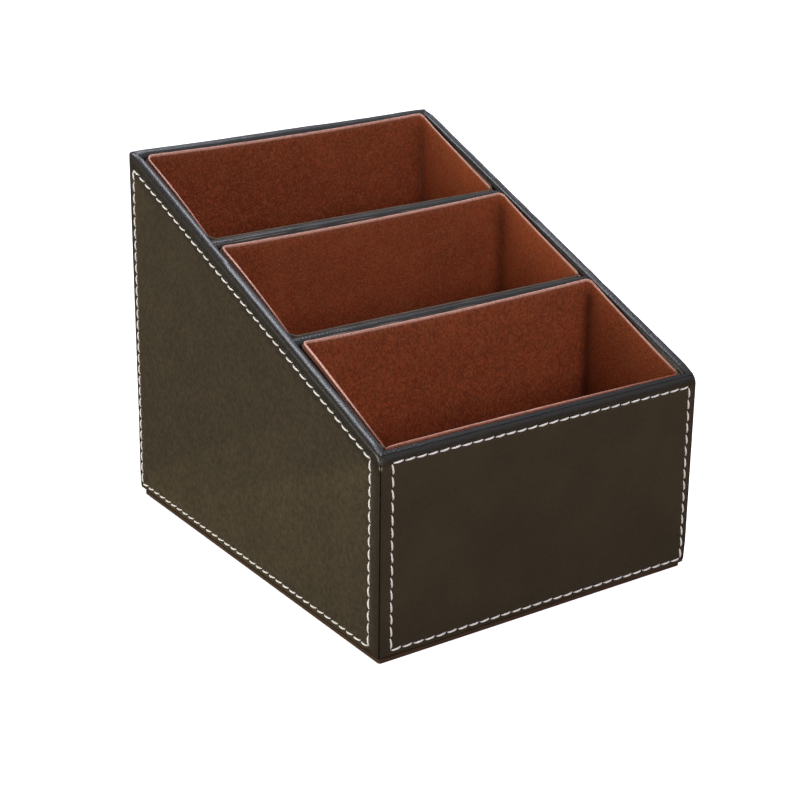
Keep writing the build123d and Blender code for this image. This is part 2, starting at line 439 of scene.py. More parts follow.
# Corners of a stitch line in millimetres, in turn: lower start, lower end, upper end and upper start. The
# first number is the distance in from the end of the face. The second is the height above the ground for
# the lower corners, and the depth below the rim for the upper ones.
side_line = ((6.1, 3.6), (2.1, 3.75), (3.8, 4.3), (5.55, 4.15))
stitch_lines = {
    "left": side_line,
    "right": side_line,
    "front": ((4.6, 3.7), (2.3, 2.5), (3.2, 3.45), (4.8, 2.65)),
    "back": ((4.5, 3.9), (4.5, 3.9), (4.5, 5.0), (4.5, 5.0)),
}


def across_face(side):
    """Level direction along an outer face."""
    way = outward[side]
    return Vector((-way.y, way.x, 0))


def on_face(side, along, up):
    """Place on an outer face, from its two coordinates."""
    box = sizes()
    way = outward[side]
    if way.x:
        return Vector((way.x * box.width / 2, along, up))
    return Vector((along, way.y * box.depth / 2, up))


def line_corners(side):
    """Corners of one face's stitch line, each with its place along the face and its height."""
    box = sizes()
    half = (box.depth if outward[side].x else box.width) / 2
    level_top = {"front": box.front_height, "back": box.rear_height}

    def below_rim(along, depth):
        return level_top[side] - depth if side in level_top else rim_height(along, depth)

    (start, start_up), (end, end_up), (far, far_down), (close, close_down) = stitch_lines[side]
    upper_end = half - far * mm
    upper_start = -half + close * mm
    return [
        (-half + start * mm, start_up * mm),
        (half - end * mm, end_up * mm),
        (upper_end, below_rim(upper_end, far_down * mm)),
        (upper_start, below_rim(upper_start, close_down * mm)),
    ]


def stitch_runs(side):
    """Straight runs of one face's stitching, each with its start, its end and its number of stitches."""
    corners = [on_face(side, *corner) for corner in line_corners(side)]
    runs = []
    for number, start in enumerate(corners):
        end = corners[(number + 1) % len(corners)]
        count = round((end - start).length / bpy.context.scene.stitch_sizes.pitch)
        runs.append((start, end, count))
    return runs


def grown(corners, distance):
    """Corners of a four-sided loop moved outwards by a distance from every side."""
    count = len(corners)
    lines = []
    for number in range(count):
        start = Vector(corners[number])
        end = Vector(corners[(number + 1) % count])
        run = (end - start).normalized()
        lines.append((start + Vector((run.y, -run.x)) * distance, run))
    moved = []
    for number in range(count):
        point, run = lines[number - 1]
        other, across = lines[number]
        gap = other - point
        amount = (gap.x * across.y - gap.y * across.x) / (run.x * across.y - run.y * across.x)
        moved.append(point + run * amount)
    return moved


# Leather covers


def leather_wrap():
    """The whole leather wrap in one piece: outer faces, rim, turn in and under turn."""
    box = sizes()
    half_x = box.width / 2
    half_y = box.depth / 2
    slope = slope_angle()
    wrap = new_block("wrap", (-half_x, -half_y, box.bottom), (half_x, half_y, box.rear_height))
    edit(wrap, "VERT")
    pick(wrap, "verts", lambda v: v.co.y < 0 and v.co.z > box.front_height)
    move((0, 0, box.front_height - box.rear_height))

    # The front edge of the rim is rolled over the front board
    roll_reach = box.front_roll * math.tan(math.pi / 4 - slope / 2)
    pick(wrap, "edges", lambda e: middle(e).y < -half_y + near and middle(e).z > box.front_height - near)
    round_edges(roll_reach, 7)

    # The rim, and the leather folded down inside
    def sloping_top(face):
        return face.normal.z > aligned and face.calc_area() > box.width * box.depth / 2

    pick(wrap, "faces", sloping_top)
    bpy.ops.mesh.inset(thickness=box.wall, use_even_offset=True)
    along = Vector((0, math.cos(slope), math.sin(slope)))
    inner_x = half_x - box.wall
    inner_y = half_y - box.wall
    for end in (-1, 1):
        pick(wrap, "verts", lambda v: abs(abs(v.co.x) - inner_x) < near and v.co.y * end > 0)
        reached = selected_places(wrap)[0].y
        move(along * ((end * inner_y - reached) / along.y))
    pick(wrap, "faces", sloping_top)
    move((0, 0, -box.rim_lean))
    bpy.ops.mesh.delete(type="FACE")
    pick(wrap, "edges", lambda e: e.is_boundary)
    stretch_edges((0, 0, -box.turn_in / math.cos(slope)))

    # The leather folded in under the box
    pick(wrap, "faces", lambda f: f.normal.z < -aligned)
    bpy.ops.mesh.inset(thickness=box.under_turn)
    bpy.ops.mesh.delete(type="FACE")

    # Rounded outer edges, all round
    def outer_edge(edge):
        spot = middle(edge)
        at_side = half_x - abs(spot.x) < near
        at_end = half_y - abs(spot.y) < near
        if spot.z < box.bottom + near:
            return at_side or at_end
        if at_side:
            faces_up = edge.link_faces[0].normal.z + edge.link_faces[1].normal.z > 0.05
            return abs(direction(edge).x) < 0.5 and (at_end or faces_up)
        return spot.y > half_y - near and spot.z > box.rear_height - near

    pick(wrap, "edges", outer_edge)
    round_edges(box.edge_roll, 6, clamp_overlap=False)

    # Rounded inner edge of the rim
    def inner_edge(edge):
        spot = middle(edge)
        on_rim = abs(spot.z + box.rim_lean - rim_height(spot.y)) < near
        on_side = abs(abs(spot.x) - inner_x) < near and abs(spot.y) < inner_y
        on_end = abs(abs(spot.y) - inner_y) < near and abs(spot.x) < inner_x
        return on_rim and (on_side or on_end)

    pick(wrap, "edges", inner_edge)
    round_edges(box.inner_roll, 4)
    finish_edit()
    return wrap


def corner_at(side, end):
    """Outer corner of the box at one end of a side, on the ground."""
    box = sizes()
    towards = outward[side] + across_face(side) * end
    return Vector((box.width / 2 * towards.x, box.depth / 2 * towards.y, 0))


def from_upright_seam(side, spot):
    """Distance of a place on a face from the nearer of its two upright seams."""
    across = across_face(side)
    return min(abs((corner_at(side, end) - spot).dot(across)) for end in (-1, 1))


def cut_to_share(cover, side):
    """Keeps one side's share of the wrap, cut on the mitre at both corners and folded into the seams."""
    box = sizes()
    way = outward[side]
    across = across_face(side)
    half_gap = box.seam_gap / 2
    face_reach = 2 * mm
    rim_reach = 4.2 * mm
    rim_depth = 1.2 * mm
    front_top = box.front_height - box.front_roll + 0.3 * mm
    folds = []
    edit(cover, "FACE")
    for end in (-1, 1):
        corner = corner_at(side, end)
        away = (across * end - way).normalized()
        into = -(way + across * end).normalized()
        mitre = corner - away * half_gap
        bpy.ops.mesh.select_all(action="SELECT")
        bpy.ops.mesh.bisect(plane_co=mitre, plane_no=away, clear_outer=True, threshold=tiny)
        folds.append((corner, away, into))
    for corner, away, into in folds:
        at_front = corner.y < 0

        def on_cut(spot):
            return abs((spot - corner).dot(away) + half_gap) < near

        def in_seam(edge):
            spot = middle(edge)
            depth_in = (spot - corner).dot(into)
            on_face_edge = abs(direction(edge).z) > 0.99 and depth_in < face_reach
            on_rim = not at_front and spot.z > rim_height(spot.y, rim_depth) and depth_in < rim_reach
            return edge.is_boundary and on_cut(spot) and (on_face_edge or on_rim)

        pick(cover, "edges", in_seam)
        for sideways in (0.2, 0.25):
            stretch_edges(into * box.seam_fold * 0.5 + away * box.seam_gap * sideways)
        if at_front:
            # Above the seam the two covers meet
            pick(cover, "verts", lambda v: v.is_boundary and on_cut(v.co) and v.co.z > front_top)
            move(away * (half_gap + near))


def rim_tone(side):
    """How much of the rim's painted shade and smoother finish the leather has, as a function of place; a
    border beside each upright seam takes part of both.
    """
    full, none, border = {
        "left": (3.6, 9.0, 0.38),
        "right": (3.6, 9.0, 0.3),
        "front": (0.9, 3.6, 0.0),
        "back": (3.0, 6.0, 0.2),
    }[side]
    border_reach = 8.0
    border_fade = 3.0

    def tone_at(spot):
        at_rim = held((none - depth_below(spot) / mm) / (none - full))
        at_corner = border * held((border_reach - from_upright_seam(side, spot) / mm) / border_fade)
        return max(at_rim, at_corner)

    return tone_at


def seam_tone(side):
    """How near a place is to an upright seam, from 0 to 1: the dark seam itself, and painted shade on the
    rounded corner beside it.
    """
    wide, reach = (0.6, 1.9) if outward[side].x else (0.05, 1.0)
    narrow_reach = 0.75
    rim_depth = 3.4 * mm

    def tone_at(spot):
        if spot.z > rim_height(spot.y, rim_depth):
            return 0.0
        apart = from_upright_seam(side, spot) / mm
        narrow = math.exp(-((apart / narrow_reach) ** 2))
        return (1.0 - wide) * narrow + wide * math.exp(-((apart / reach) ** 4))

    return tone_at


def foot_tone(side):
    """How far painted shade darkens the leather near the foot of a face, as a function of place."""

    def faded(height, reach):
        return held(1.0 - (height - 3 * mm) / reach)

    def tone_at(spot):
        if not outward[side].x:
            return 0.5 * faded(spot.z, 17 * mm)
        towards_front = held((20 * mm - spot.y) / (100 * mm))
        return 0.45 * towards_front * faded(spot.z, 60 * mm)

    return tone_at


def cut_edge(spot):
    """The pale cut edge of the leather at the upper end of the front left seam, from 0 to 1."""
    box = sizes()
    inset = 0.35 * mm
    radius = 0.5 * mm
    upper_end = Vector((inset - box.width / 2, inset - box.depth / 2, box.front_height - 3.7 * mm))
    return math.exp(-(((spot - upper_end).length / radius) ** 4))


def ring_the_stitching(cover, side):
    """Rings of faces on both sides of the stitch line, for the channel that the thread pulls in."""
    box = sizes()
    way = outward[side]
    outer_reach = 1.3 * mm
    panel_area = 0.3 * box.width * box.front_height

    def on_panel(face):
        return face.normal.dot(way) > square_on and face.calc_area() > panel_area

    pick(cover, "faces", on_panel)
    bpy.ops.mesh.inset(thickness=0.12 * mm)
    targets = [on_face(side, *corner) for corner in grown(line_corners(side), outer_reach)]
    if side == "front":
        flat_top = box.front_height - box.front_roll * math.tan(math.pi / 4 - slope_angle() / 2) - 0.05 * mm
        for target in targets:
            target.z = min(target.z, flat_top)

    # The rounded front corner of a side closes to one corner
    mesh = bmesh.from_edit_mesh(cover.data)
    panel = [vert.index for vert in mesh.verts if vert.select]
    for target in targets:
        mesh = bmesh.from_edit_mesh(cover.data)
        mesh.verts.ensure_lookup_table()
        chosen = {
            number
            for number in panel
            if min(targets, key=lambda spot: (spot - mesh.verts[number].co).length) == target
        }
        total = Vector((0, 0, 0))
        for number in chosen:
            total += mesh.verts[number].co
        pick(cover, "verts", lambda v: v.index in chosen)
        bpy.ops.transform.resize(value=(0, 0, 0), center_override=total / len(chosen))
        move(target - total / len(chosen))
    bpy.ops.mesh.select_all(action="SELECT")
    bpy.ops.mesh.remove_doubles(threshold=tiny)
    ring_widths = (0.35, 0.3, 0.25, 0.25, 0.3, 0.3, 0.35, 0.45, 0.7, 1.2)
    for width in ring_widths:
        pick(cover, "faces", on_panel)
        bpy.ops.mesh.inset(thickness=width * mm, use_even_offset=True)
    pick(cover, "faces", on_panel)
    bpy.ops.mesh.delete(type="ONLY_FACE")


def cut_across(cover, side):
    """Cuts all long edges into short steps, and closes the plain panel inside the stitching."""
    box = sizes()
    way = outward[side]
    up = Vector((0, 0, 1))
    long_enough = 20 * mm

    def group_of(edge):
        """Whether an edge runs up the face, and then also at which end of the face."""
        if abs(direction(edge).dot(up)) <= 0.95:
            return False, 0
        return True, 1 if middle(edge).dot(way.cross(up)) > 0 else -1

    spans = {}
    mesh = bmesh.from_edit_mesh(cover.data)
    for edge in mesh.edges:
        if edge.calc_length() > long_enough:
            spans.setdefault(group_of(edge), []).append(edge.calc_length())
    for group, lengths in spans.items():
        pick(cover, "edges", lambda e: e.calc_length() > long_enough and group_of(e) == group)
        bpy.ops.mesh.subdivide(number_cuts=round(max(lengths) / box.mesh_step))
    plane = on_face(side, 0, 0).dot(way)
    inner = grown(line_corners(side), -3.0 * mm)
    low = min(corner.x for corner in inner) - 1 * mm
    high = max(corner.x for corner in inner) + 1 * mm
    along = 1 if way.x else 0

    def panel_edge(edge):
        spot = middle(edge)
        return edge.is_boundary and abs(spot.dot(way) - plane) < near and low < spot[along] < high

    pick(cover, "edges", panel_edge)
    bpy.ops.mesh.edge_face_add()


def cut_along_rim(cover, side):
    """Cuts the flat of a rim into strips that follow the rim, so that it can be padded."""
    box = sizes()
    way = outward[side]
    plane = on_face(side, 0, 0).dot(way)

    def across_rim(edge):
        if any(depth_below(vert.co) > box.rim_lean + near for vert in edge.verts):
            return False
        start, end = sorted(plane - vert.co.dot(way) for vert in edge.verts)
        return abs(start - box.edge_roll) < 4 * near and abs(end - box.wall + box.inner_roll) < 4 * near

    pick(cover, "edges", across_rim)
    bpy.ops.mesh.subdivide(number_cuts=4)


def rolled(across, wall, outer, inner, tilt):
    """Height over a rim's section: an outer roll, a flat at a tilt and an inner roll, in that order."""
    if across < outer:
        return math.sqrt(max(0.0, outer ** 2 - (outer - across) ** 2)) - outer
    flat = min(across, wall - inner) - outer
    over = max(0.0, across - wall + inner)
    return flat * tilt - inner + math.sqrt(max(0.0, inner ** 2 - over ** 2))


def padding_of(side):
    """How far the padding lifts a side's rim from its plain section, in millimetres, by place."""
    box = sizes()
    way = outward[side]
    lean = -box.rim_lean / box.wall
    height, outer, inner = {
        "left": (box.left_padding, 0.64 * box.wall, 0.36 * box.wall),
        "right": (box.right_padding, 0.5 * mm, 0.95 * mm),
        "back": (0.0, box.edge_roll, box.wall / 2),
    }[side]
    plane = on_face(side, 0, 0).dot(way)
    reach = (box.width + box.depth) / 2 - plane
    along = 1 if way.x else 0
    plain_start = 1.5 * mm
    fade_length = 4 * mm
    rim_depth = 1.6 * mm

    def padding_at(spot):
        across = plane - spot.dot(way)
        if depth_below(spot) > rim_depth or not 0.0 < across < box.wall:
            return 0.0
        fade = held((reach - abs(spot[along]) - plain_start) / fade_length)
        padded = height + rolled(across, box.wall, outer, inner, 0.0)
        plain_rim = rolled(across, box.wall, box.edge_roll, box.inner_roll, lean) + box.edge_roll * lean
        return fade * max(0.0, padded - plain_rim) / mm

    return padding_at


def sagging(spot):
    """How far the back rim sags, as a share of its most, from 0 to 1."""
    apart = abs(spot.x) / mm
    ends, deepest = 58.0, 36.0
    if apart > ends:
        return 0.0
    along = (ends - apart) / (ends - deepest)
    if apart < deepest:
        along = 0.45 + 0.55 * math.sin(math.pi * apart / (2 * deepest)) ** 2
    return along * held(1.2 - depth_below(spot) / (7 * mm))


def bulging(spot):
    """How far the leather stands out at the front right corner, as a share of its most, from 0 to 1."""
    box = sizes()
    at_front = held(1.0 - (spot.y + box.depth / 2) / (3.5 * mm))
    at_right = held(1.2 - (box.width / 2 - spot.x) / (5 * mm))
    return at_front * at_right * held((spot.z - 3 * mm) / (6 * mm))


def pulled_in(side, runs, reach):
    """How deep the stitching pulls the leather in, as a function of place, from 0 to 1."""
    stitch = bpy.context.scene.stitch_sizes
    deepest = stitch.channel + stitch.dimple
    channel_width = 0.62 * mm
    hole_width = 0.52 * mm
    off_face = 0.7 * mm

    def depth_at(spot):
        if abs((spot - runs[0][0]).dot(outward[side])) > off_face:
            return 0.0
        channel = 0.0
        hole = 0.0
        for start, end, count in runs:
            run = end - start
            place = held((spot - start).dot(run) / run.length_squared)
            apart = (spot - start - run * place).length
            if apart > reach:
                continue
            channel = max(channel, math.exp(-((apart / channel_width) ** 2)))
            nearest = start + run * (round(place * count) / count)
            hole = max(hole, math.exp(-(((spot - nearest).length / hole_width) ** 2)))
        return (channel * stitch.channel + hole * stitch.dimple) / deepest

    return depth_at


def leather_cover(wrap, side, name):
    """One leather cover, with its seams, its rings and its pulled-in stitch channel."""
    box = sizes()
    stitch = bpy.context.scene.stitch_sizes
    way = outward[side]
    cover = wrap.copy()
    cover.data = wrap.data.copy()
    cover.name = name
    cover.data.name = name
    bpy.context.scene.collection.objects.link(cover)
    cut_to_share(cover, side)
    ring_the_stitching(cover, side)
    cut_across(cover, side)
    if side != "front":
        cut_along_rim(cover, side)
    finish_edit()
    depth_at = pulled_in(side, stitch_runs(side), reach=2.2 * mm)
    grainy = 0.2 if side == "front" else 1.0
    polished = {"left": 1.0, "right": 0.4}.get(side, 0.0)
    keep_values(
        cover,
        {
            "thread_pull": depth_at,
            "rim_tone": rim_tone(side),
            "seam_tone": seam_tone(side),
            "cut_edge": cut_edge,
            "foot_tone": foot_tone(side),
            "grainy": lambda spot: grainy,
            "side_gloss": lambda spot: polished * held(2.0 - depth_below(spot) / (1.5 * mm)),
        },
    )
    inwards = -(way.x + way.y) * (stitch.channel + stitch.dimple)
    push(cover, "pulled_in", depth_at, "X" if way.x else "Y", inwards)
    if side != "front":
        push(cover, "padding", padding_of(side), "Z", mm)
    if side == "back":
        push(cover, "sagging", sagging, "Z", -box.back_sag)
    if side in ("front", "right"):
        push(cover, "bulging", bulging, "X", box.bulge)
    weigh(cover, "rim", lambda spot: max(0.0, 1.0 - depth_below(spot) / (3.5 * mm)))
    ripple(cover, "rim_waves", "rim", 7 * mm, 0.22 * mm)
    thicken(cover, box.leather)
    keep_sharp(cover, 50)
    return cover


# Materials


def new_material(name):
    """A material with its output and its shader in place, and nothing else."""
    material = bpy.data.materials.new(name)
    material.use_nodes = True
    tree = material.node_tree
    tree.nodes.clear()
    shader = tree.nodes.new("ShaderNodeBsdfPrincipled")
    output = tree.nodes.new("ShaderNodeOutputMaterial")
    tree.links.new(shader.outputs["BSDF"], output.inputs["Surface"])
    return material, tree, shader


def is_socket(value):
    """Whether a value comes from another node."""
    return isinstance(value, bpy.types.NodeSocket)


def feed(tree, made, values):
    """Sets or links the inputs of a node, by their names or numbers."""
    for key, value in values.items():
        if is_socket(value):
            tree.links.new(value, made.inputs[key])
        else:
            made.inputs[key].default_value = value


def node(tree, kind, values=None, settings=None):
    """Adds a node with values on its sockets and settings on itself."""
    made = tree.nodes.new(kind)
    for key, value in (settings or {}).items():
        setattr(made, key, value)
    feed(tree, made, values or {})
    return made


def new_group(name, numbers, results):
    """A node group that reads a place and some numbers; returns it with its inputs and its end node."""
    group = bpy.data.node_groups.new(name, "ShaderNodeTree")
    group.interface.new_socket("Vector", in_out="INPUT", socket_type="NodeSocketVector")
    for label, default in numbers.items():
        socket = group.interface.new_socket(label, in_out="INPUT", socket_type="NodeSocketFloat")
        socket.default_value = default
    for label in results:
        group.interface.new_socket(label, in_out="OUTPUT", socket_type="NodeSocketFloat")
    start = group.nodes.new("NodeGroupInput")
    end = group.nodes.new("NodeGroupOutput")
    return group, start.outputs, end


def use_group(tree, group, values):
    """Places a group in a material and returns its outputs."""
    return node(tree, "ShaderNodeGroup", values, {"node_tree": group}).outputs


def maths(tree, operation, *values):
    """Result of one operation on values or sockets."""
    return node(tree, "ShaderNodeMath", dict(enumerate(values)), {"operation": operation}).outputs[0]


def times(tree, first, second):
    """Product of two values or sockets."""
    return maths(tree, "MULTIPLY", first, second)


def plus(tree, first, second):
    """Sum of two values or sockets."""
    return maths(tree, "ADD", first, second)


def vectors(tree, operation, values):
    """Result of one operation on vectors."""
    return node(tree, "ShaderNodeVectorMath", values, {"operation": operation}).outputs[0]


def spread(tree, value, low, high, new_low=0.0, new_high=1.0):
    """Maps a value from one range to another, held within the new range."""
    ends = {"Value": value, "From Min": low, "From Max": high, "To Min": new_low, "To Max": new_high}
    return node(tree, "ShaderNodeMapRange", ends).outputs["Result"]


def mix_colour(tree, amount, first, second, blend="MIX"):
    """Blends two colours, by a number or a mask."""
    colours = [value if is_socket(value) else (*value[:3], 1.0) for value in (first, second)]
    settings = {"data_type": "RGBA", "blend_type": blend}
    return node(tree, "ShaderNodeMix", {0: amount, 6: colours[0], 7: colours[1]}, settings).outputs[2]


def toned_by(tree, colour, factor):
    """A colour made darker or lighter by a factor that changes over the surface."""
    grey = node(tree, "ShaderNodeCombineColor", {0: factor, 1: factor, 2: factor}).outputs[0]
    return mix_colour(tree, 1.0, colour, grey, "MULTIPLY")


def noise(tree, place, scale, detail, roughness=0.5, output="Fac"):
    """Soft random values over a piece."""
    values = {"Vector": place, "Scale": scale, "Detail": detail, "Roughness": roughness}
    return node(tree, "ShaderNodeTexNoise", values).outputs[output]


def object_place(tree):
    """Place on the piece, in metres."""
    return node(tree, "ShaderNodeTexCoord").outputs["Object"]


def scaled_place(tree, place, scale):
    """Place with each of its axes scaled, so that a pattern is drawn out along some of them."""
    return node(tree, "ShaderNodeMapping", {"Vector": place, "Scale": scale}).outputs[0]


def value_of(tree, name):
    """Reads a point attribute of the piece."""
    settings = {"attribute_name": name, "attribute_type": "GEOMETRY"}
    return node(tree, "ShaderNodeAttribute", None, settings).outputs["Fac"]


def raise_surface(tree, shader, height, strength, distance):
    """Gives a shader its fine relief."""
    bump = node(tree, "ShaderNodeBump", {"Height": height, "Strength": strength, "Distance": distance})
    feed(tree, shader, {"Normal": bump.outputs["Normal"]})


def grain_group():
    """Pebbled grain: rounded cells of uneven size with narrow valleys."""
    results = ("Height", "Valley", "Patches", "Mottle")
    group, start, end = new_group("pebble_grain", {"Cell size": 0.0007}, results)
    place = start["Vector"]
    bend = noise(group, place, 900.0, 1.0, output="Color")
    shift = vectors(group, "SUBTRACT", {0: bend, 1: (0.5, 0.5, 0.5)})
    small = vectors(group, "SCALE", {0: shift, "Scale": 0.0007})
    bent = vectors(group, "ADD", {0: place, 1: small})
    scale = maths(group, "DIVIDE", 1.0, start["Cell size"])
    cell_values = {"Vector": bent, "Scale": scale, "Smoothness": 0.4}
    cells = node(group, "ShaderNodeTexVoronoi", cell_values, {"feature": "SMOOTH_F1"})
    rounded = spread(group, cells.outputs["Distance"], 0.1, 0.85, 1.0, 0.0)
    broad = noise(group, place, 70.0, 3.0)
    fine = noise(group, place, 3500.0, 2.0)
    mottle = noise(group, place, 620.0, 2.0)
    outputs = {
        "Height": plus(group, rounded, times(group, fine, 0.1)),
        "Valley": spread(group, rounded, 0.45, 0.05),
        "Patches": spread(group, broad, 0.3, 0.7),
        "Mottle": spread(group, mottle, 0.3, 0.7, -1.0, 1.0),
    }
    feed(group, end, outputs)
    return group


def nap_group():
    """Brushed nap: soft patches where the nap lies one way or the other, with short fibres."""
    group, start, end = new_group("brushed_nap", {}, ("Patches", "Fibres", "Brown"))
    long_way = scaled_place(group, start["Vector"], (1.0, 1.0, 0.85))
    broad = noise(group, long_way, 60.0, 3.0, 0.55)
    medium = noise(group, long_way, 700.0, 3.0, 0.65)
    fibres = noise(group, long_way, 1500.0, 2.0, 0.7)
    brown = noise(group, long_way, 240.0, 3.0, 0.7)
    both = plus(group, times(group, broad, 0.36), times(group, medium, 0.64))
    outputs = {
        "Patches": spread(group, both, 0.36, 0.64),
        "Fibres": spread(group, fibres, 0.3, 0.7),
        "Brown": spread(group, brown, 0.42, 0.62),
    }
    feed(group, end, outputs)
    return group


def fibre_group():
    """Pressed fibre of board, card and cloth: flecks and a faint weave of streaks."""
    group, start, end = new_group("pressed_fibre", {"Fineness": 1.0}, ("Flecks", "Height"))
    place = start["Vector"]
    lengthwise = scaled_place(group, place, (1.0, 0.35, 1.0))
    streaks = noise(group, lengthwise, times(group, start["Fineness"], 900.0), 3.0)
    flecks = noise(group, place, 240.0, 4.0)
    feed(group, end, {"Flecks": spread(group, flecks, 0.35, 0.7), "Height": streaks})
    return group


def leather_material(grain):
    """Pebbled leather, with painted shade at the rim, on the rounded upright corners, near the foot of each
    face and in the stitch channel, and dark seams.
    """
    finish = bpy.context.scene.finishes
    material, tree, shader = new_material("dark_brown_leather")
    grained = use_group(tree, grain, {"Vector": object_place(tree), "Cell size": 0.00075})
    base = Vector(finish.leather_colour)
    at_rim = value_of(tree, "rim_tone")
    grainy = value_of(tree, "grainy")

    toned = mix_colour(tree, grained["Patches"], base * 0.9, base * 1.1)
    # Painted shade: the rim, the caps and a border beside each upright seam are darkened towards the rim's
    # brown.
    edged = mix_colour(tree, at_rim, toned, finish.rim_shade_colour)
    # Painted shade near the foot of each face.
    shaded = mix_colour(tree, value_of(tree, "foot_tone"), edged, base * 0.45)
    mottle = times(tree, grained["Mottle"], grainy)
    mottled = toned_by(tree, shaded, plus(tree, times(tree, mottle, 0.3), 1.0))
    valleys = times(tree, grained["Valley"], spread(tree, at_rim, 0.0, 0.6, 0.2, 0.4))
    deepened = mix_colour(tree, valleys, mottled, base * 0.3)
    # Painted shade in the channel that the stitching pulls in and in the needle holes.
    pulled = spread(tree, value_of(tree, "thread_pull"), 0.2, 0.95, 0.0, 0.7)
    sewn = mix_colour(tree, pulled, deepened, base * 0.25)
    # The dark seam, and painted shade on the rounded corner beside each upright seam.
    seamed = mix_colour(tree, value_of(tree, "seam_tone"), sewn, finish.seam_and_shade_colour)
    nicked = mix_colour(tree, value_of(tree, "cut_edge"), seamed, finish.cut_edge_colour)

    smooth = spread(tree, at_rim, 0.0, 1.0, finish.panel_rough, finish.rim_rough)
    values = {
        "Base Color": nicked,
        "Roughness": plus(tree, smooth, times(tree, grained["Valley"], 0.14)),
        "Specular IOR Level": finish.leather_gloss,
        "Coat Weight": times(tree, value_of(tree, "side_gloss"), finish.side_gloss),
        "Coat Roughness": 0.4,
    }
    feed(tree, shader, values)
    off_rim = spread(tree, at_rim, 0.0, 1.0, 1.0, 0.0)
    on_panel = times(tree, off_rim, spread(tree, grainy, 0.0, 1.0, 0.16, 0.4))
    strength = plus(tree, on_panel, times(tree, at_rim, 0.5))
    raise_surface(tree, shader, times(tree, grained["Height"], strength), 0.6, 0.00016)
    return material


def suede_material(nap):
    """Brushed suede, with painted light on the upper part of the walls, a painted highlight along the upper
    edge, and painted shade in the groove and in the corners.
    """
    finish = bpy.context.scene.finishes
    material, tree, shader = new_material("red_brown_suede")
    napped = use_group(tree, nap, {"Vector": object_place(tree)})
    fibres = napped["Fibres"]
    depth = value_of(tree, "edge_depth")
    base = Vector(finish.suede_colour)

    # Painted light: the upper part of each wall is paler where more light falls on it, and deeper and redder
    # lower down.
    upper_lit = Vector((base.x * 1.02, base.y * 1.16, base.z * 1.35))
    browner = base * 0.9 + Vector((0, 0.024, 0.01))
    lit = Vector((base.x * 1.5, base.y * 1.65, base.z * 1.75))
    # Painted shade: the dark brown in the groove beside the lining's ridge.
    in_groove = (0.085, 0.047, 0.038)
    faded = mix_colour(tree, value_of(tree, "upper_part"), base * 0.94, upper_lit)
    browned = mix_colour(tree, times(tree, napped["Brown"], 0.5), faded, browner)
    # The patches are scaled by painted light and shade that differ from wall to wall.
    patches = times(tree, spread(tree, napped["Patches"], 0.0, 1.0, 0.76, 1.24), value_of(tree, "nap_tone"))
    patched = toned_by(tree, browned, patches)
    speckled = mix_colour(tree, spread(tree, fibres, 0.5, 1.0, 0.0, 1.0), patched, lit)
    shaded = mix_colour(tree, spread(tree, fibres, 0.5, 0.0, 0.0, 0.75), speckled, base * 0.5)

    # The painted highlight is pale at the very top of the edge and fades out below it
    at_edge = spread(tree, depth, 0.02, 0.075, 0.9, 0.0)
    pale = plus(tree, at_edge, spread(tree, depth, 0.03, 0.2, 0.06, 0.0))
    ragged = times(tree, pale, spread(tree, fibres, 0.1, 0.7, 0.55, 1.0))
    edge_lit = mix_colour(tree, times(tree, value_of(tree, "rubbed"), ragged), shaded, finish.suede_rubbed)
    # Painted shade in the upright corners of the linings.
    corner_shaded = mix_colour(tree, times(tree, value_of(tree, "corner_tone"), 0.9), edge_lit, base * 0.15)
    # Painted shade in the groove.
    dark = mix_colour(tree, times(tree, value_of(tree, "groove_tone"), 0.85), corner_shaded, in_groove)
    values = {
        "Base Color": dark,
        "Roughness": 0.95,
        "Specular IOR Level": 0.1,
        "Sheen Weight": 0.08,
        "Sheen Roughness": 0.45,
        "Sheen Tint": (1.0, 0.5, 0.35, 1.0),
    }
    feed(tree, shader, values)
    height = plus(tree, fibres, times(tree, napped["Patches"], 0.6))
    raise_surface(tree, shader, height, 0.5, 0.00018)
    return material


def thread_material():
    """Twisted thread: slanting plies along the stitch, from its own map."""
    finish = bpy.context.scene.finishes
    material, tree, shader = new_material("off_white_thread")
    coordinates = node(tree, "ShaderNodeTexCoord").outputs
    split = node(tree, "ShaderNodeSeparateXYZ", {0: coordinates["UV"]}).outputs
    wound = plus(tree, times(tree, split["X"], 3.0), times(tree, split["Y"], 5.0))
    plies = spread(tree, maths(tree, "SINE", times(tree, wound, 2 * math.pi)), -1.0, 1.0)
    soil = noise(tree, coordinates["Object"], 130.0, 2.0)
    base = Vector(finish.thread_colour)
    toned = mix_colour(tree, spread(tree, soil, 0.35, 0.7), base, base * 0.86)
    plied = mix_colour(tree, spread(tree, plies, 0.35, 0.0, 0.0, 0.45), toned, base * 0.55)
    feed(tree, shader, {"Base Color": plied, "Roughness": 0.7, "Specular IOR Level": 0.3})
    raise_surface(tree, shader, plies, 0.5, 0.00012)
    return material


def fibre_material(name, base, fibre, fineness, rough):
    """Board, card or cloth, from the pressed fibre group."""
    material, tree, shader = new_material(name)
    fibred = use_group(tree, fibre, {"Vector": object_place(tree), "Fineness": fineness})
    base = Vector(base)
    toned = mix_colour(tree, fibred["Flecks"], base * 0.8, base * 1.15)
    streaked = mix_colour(tree, spread(tree, fibred["Height"], 0.4, 0.65, 0.0, 0.45), toned, base * 0.6)
    feed(tree, shader, {"Base Color": streaked, "Roughness": rough})
    raise_surface(tree, shader, fibred["Height"], 0.5, 0.0001)
    return material


def finish_named(name):
    """A material that was made before, by its name."""
    found = bpy.data.materials.get(name)
    if found is None:
        raise RuntimeError("the material " + name + " hasn't been made yet")
    return found


